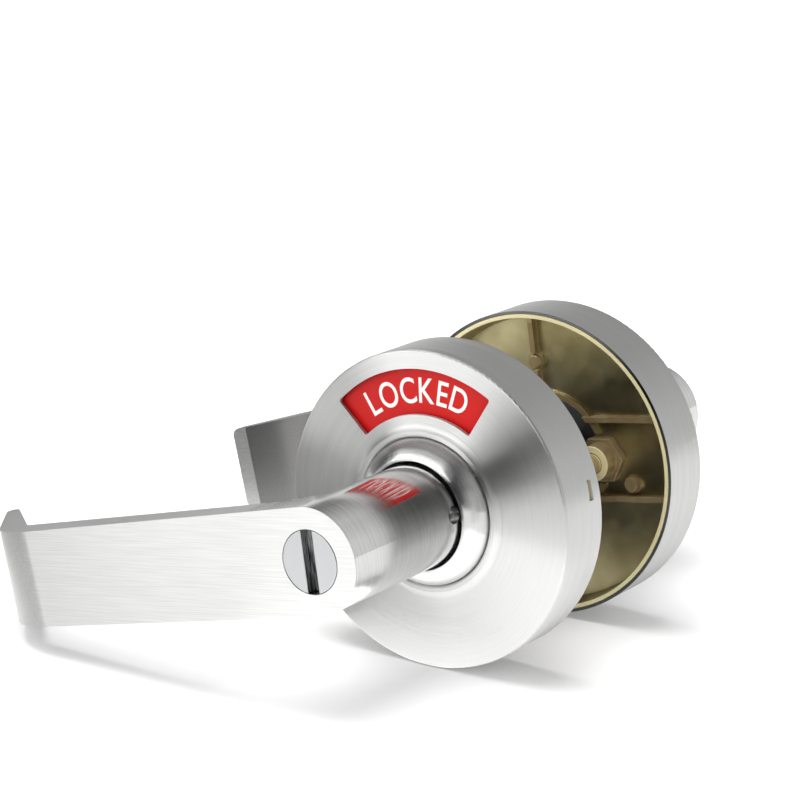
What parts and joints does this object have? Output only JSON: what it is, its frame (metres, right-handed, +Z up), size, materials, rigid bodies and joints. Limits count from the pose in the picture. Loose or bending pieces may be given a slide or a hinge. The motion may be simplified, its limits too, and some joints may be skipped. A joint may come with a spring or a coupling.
{
  "type": "privacy lever lock set",
  "caption": "Satin chrome privacy lever set for a door: round roses, return levers, an arc status window with a coin-slot release outside and a push button inside.",
  "frame": {"origin": "on the lock's axis at the outside face of the door", "axes": "+Y along the lock's axis from the outside of the door to the inside, +Z up, levers point to -X"},
  "size_m": [0.1826, 0.1869, 0.0888],
  "materials": {
    "satin_chrome": "satin, brushed",
    "bright_steel": "bright",
    "spring_steel": "oiled",
    "yellow_zinc": "yellow passivated",
    "grey_zinc": "as cast",
    "bearing_bronze": "turned",
    "status_red": "satin enamel",
    "status_green": "satin enamel"
  },
  "bodies": {
    "roses": {"outside_rose": "satin_chrome", "outside_base_plate": "yellow_zinc", "outside_bearing_housing": "grey_zinc", "outside_bush": "bearing_bronze", "outside_collar": "satin_chrome", "outside_rivets": "yellow_zinc", "threaded_studs": "yellow_zinc", "through_bolts": "yellow_zinc", "outside_return_spring": "spring_steel", "inside_rose": "satin_chrome", "inside_base_plate": "yellow_zinc", "inside_bearing_housing": "grey_zinc", "inside_bush": "bearing_bronze", "inside_collar": "satin_chrome", "inside_rivets": "yellow_zinc", "mounting_posts": "yellow_zinc", "rod_guide_pin": "bright_steel", "inside_return_spring": "spring_steel"},
    "outside_lever": {"outside_lever": "satin_chrome", "outside_hub": "bright_steel", "outside_spindle": "bright_steel", "outside_spring_driver": "grey_zinc", "outside_circlip": "spring_steel", "outside_catch_spring": "spring_steel"},
    "inside_lever": {"inside_lever": "satin_chrome", "inside_hub": "bright_steel", "inside_spindle": "bright_steel", "inside_spring_driver": "grey_zinc", "inside_circlip": "spring_steel", "inside_catch_spring": "spring_steel", "button_spring": "spring_steel"},
    "outside_catch": {"outside_catch": "bright_steel"},
    "inside_catch": {"inside_catch": "bright_steel"},
    "indicator": {"emergency_plug": "bright_steel", "plug_shaft": "bright_steel", "drive_pin": "bright_steel", "indicator_ring": "grey_zinc", "red_panel": "status_red", "green_panel": "status_green", "cam_blade": "spring_steel"},
    "button": {"push_button": "satin_chrome", "push_rod": "bright_steel"}
  },
  "joints": [
    {"name": "outside_lever_turn", "type": "hinge", "parent": "roses", "child": "outside_lever", "pos_m": [0, 0, 0], "axis": [0, -1, 0], "range_deg": [-50, 40], "stiffness_Nm_per_rad": 2, "springref_deg": -8.02, "deforming": ["outside_return_spring"]},
    {"name": "inside_lever_turn", "type": "hinge", "parent": "roses", "child": "inside_lever", "pos_m": [0, 0.038, 0], "axis": [0, -1, 0], "range_deg": [-50, 40], "stiffness_Nm_per_rad": 2, "springref_deg": -8.02, "deforming": ["inside_return_spring"]},
    {"name": "outside_catch_slide", "type": "slide", "parent": "outside_lever", "child": "outside_catch", "axis": [-0.9962, 0, -0.0872], "range_m": [0, 0.0026], "stiffness_N_per_m": 300, "deforming": ["outside_catch_spring"]},
    {"name": "inside_catch_slide", "type": "slide", "parent": "inside_lever", "child": "inside_catch", "axis": [-0.9962, 0, -0.0872], "range_m": [0, 0.0026], "stiffness_N_per_m": 300, "deforming": ["inside_catch_spring"]},
    {"name": "button_slide", "type": "slide", "parent": "roses", "child": "button", "axis": [0, 1, 0], "range_m": [0, 0.0105], "deforming": ["button_spring"]},
    {"name": "indicator_turn", "type": "hinge", "parent": "roses", "child": "indicator", "pos_m": [0, 0, 0], "axis": [0, -1, 0], "range_deg": [0, 90]}
  ],
  "couplings": [
    {"joint": "indicator_turn", "follows": "button_slide", "rad_per_m": 149.6}
  ]
}
